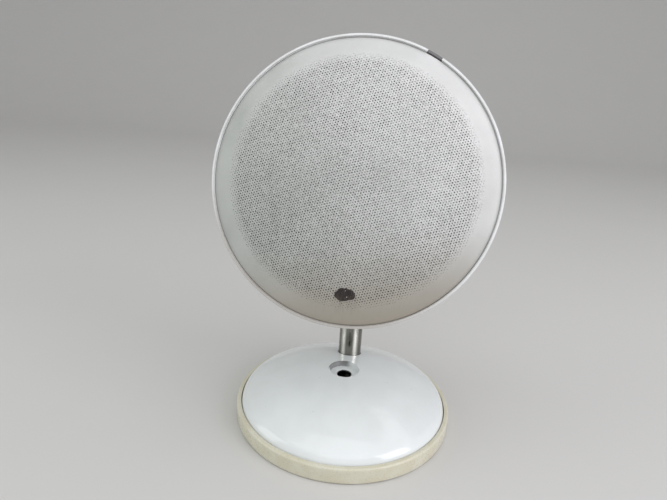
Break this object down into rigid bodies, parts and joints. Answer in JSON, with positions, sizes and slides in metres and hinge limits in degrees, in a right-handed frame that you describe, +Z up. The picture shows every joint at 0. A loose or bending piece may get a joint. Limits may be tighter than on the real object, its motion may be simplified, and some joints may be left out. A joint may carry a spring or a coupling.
{
  "type": "smart speaker",
  "caption": "Round desktop smart speaker: a disc head with a domed perforated grille, on a tilting and swivelling steel stem over a domed white base.",
  "frame": {"origin": "centre of the round base on the surface it stands on", "axes": "+Z up, the grille faces -Y and leans back, +X to the right of a viewer who faces the grille"},
  "size_m": [0.17, 0.151, 0.2534],
  "materials": {
    "gloss_white": "high gloss",
    "aged_cream": "satin, yellowed with age",
    "shell_white": "fine texture",
    "trim_white": "gloss",
    "grille_grey": "perforated sheet, powder coated",
    "stem_steel": "polished and lightly brushed",
    "zinc_steel": "zinc plated",
    "ballast_steel": "black lacquer",
    "black_steel": "satin powder coat",
    "black_plastic": "moulded",
    "old_adhesive": "dried, lumpy",
    "cone_paper": "pressed paper",
    "black_rubber": "matt",
    "ferrite": "sintered",
    "spider_cloth": "resin-dipped weave",
    "copper_wire": "enamelled winding",
    "board_green": "solder mask",
    "white_nylon": "natural",
    "tweeter_silk": "coated silk",
    "aluminium": "bare"
  },
  "bodies": {
    "base": {"foot_ring": "aged_cream", "base_dome": "gloss_white", "base_plate": "ballast_steel", "base_screw_1": "zinc_steel", "base_screw_2": "zinc_steel", "base_screw_3": "zinc_steel", "base_screw_4": "zinc_steel", "stem_foot": "zinc_steel", "stem_bolt": "zinc_steel", "stem_tube": "stem_steel", "swivel_bush": "white_nylon", "swivel_stop_screw": "black_steel"},
    "neck": {"swivel_neck": "stem_steel", "friction_washer_left": "white_nylon", "friction_washer_right": "white_nylon"},
    "head": {"tilt_bracket": "black_steel", "bracket_screw_1": "zinc_steel", "bracket_screw_2": "zinc_steel", "bracket_screw_3": "zinc_steel", "bracket_screw_4": "zinc_steel", "pivot_bolt": "zinc_steel", "pivot_nut": "zinc_steel", "rear_shell": "shell_white", "shell_gasket": "black_rubber", "baffle": "black_plastic", "baffle_screw_1": "zinc_steel", "baffle_screw_2": "zinc_steel", "baffle_screw_3": "zinc_steel", "baffle_screw_4": "zinc_steel", "baffle_screw_5": "zinc_steel", "baffle_screw_6": "zinc_steel", "trim_ring": "trim_white", "grille": "grille_grey", "badge_adhesive": "old_adhesive", "woofer_basket": "black_steel", "woofer_screw_1": "zinc_steel", "woofer_screw_2": "zinc_steel", "woofer_screw_3": "zinc_steel", "woofer_screw_4": "zinc_steel", "woofer_gasket": "black_rubber", "woofer_top_plate": "zinc_steel", "woofer_magnet": "ferrite", "woofer_back_plate": "zinc_steel", "woofer_surround": "black_rubber", "woofer_spider": "spider_cloth", "tweeter_housing": "black_plastic", "tweeter_magnet": "ferrite", "main_board": "board_green", "heatsink": "aluminium", "wireless_module": "aluminium", "microphone_left": "board_green", "microphone_right": "board_green", "dc_jack": "black_plastic", "button_spring": "zinc_steel"},
    "woofer_diaphragm": {"woofer_cone": "cone_paper", "dust_cap": "cone_paper", "voice_coil": "copper_wire"},
    "tweeter_diaphragm": {"tweeter_dome": "tweeter_silk"},
    "button": {"pair_button": "black_plastic"}
  },
  "joints": [
    {"name": "head_swivel", "type": "hinge", "parent": "base", "child": "neck", "pos_m": [0, 0.03, 0.108], "axis": [0, 0, 1], "range_deg": [-40, 40]},
    {"name": "head_tilt", "type": "hinge", "parent": "neck", "child": "head", "pos_m": [0, 0.03, 0.128], "axis": [-1, 0, 0], "range_deg": [-20, 15]},
    {"name": "woofer_travel", "type": "slide", "parent": "head", "child": "woofer_diaphragm", "axis": [0, -0.9563, 0.2924], "range_m": [-0.003, 0.003], "stiffness_N_per_m": 1500, "deforming": ["woofer_surround", "woofer_spider"]},
    {"name": "tweeter_travel", "type": "slide", "parent": "head", "child": "tweeter_diaphragm", "axis": [0, -0.9563, 0.2924], "range_m": [-0.0003, 0.0003], "stiffness_N_per_m": 1500},
    {"name": "button_press", "type": "slide", "parent": "head", "child": "button", "axis": [0, -0.9563, 0.2924], "range_m": [0, 0.001], "stiffness_N_per_m": 500, "springref_m": -0.0006, "deforming": ["button_spring"]}
  ]
}
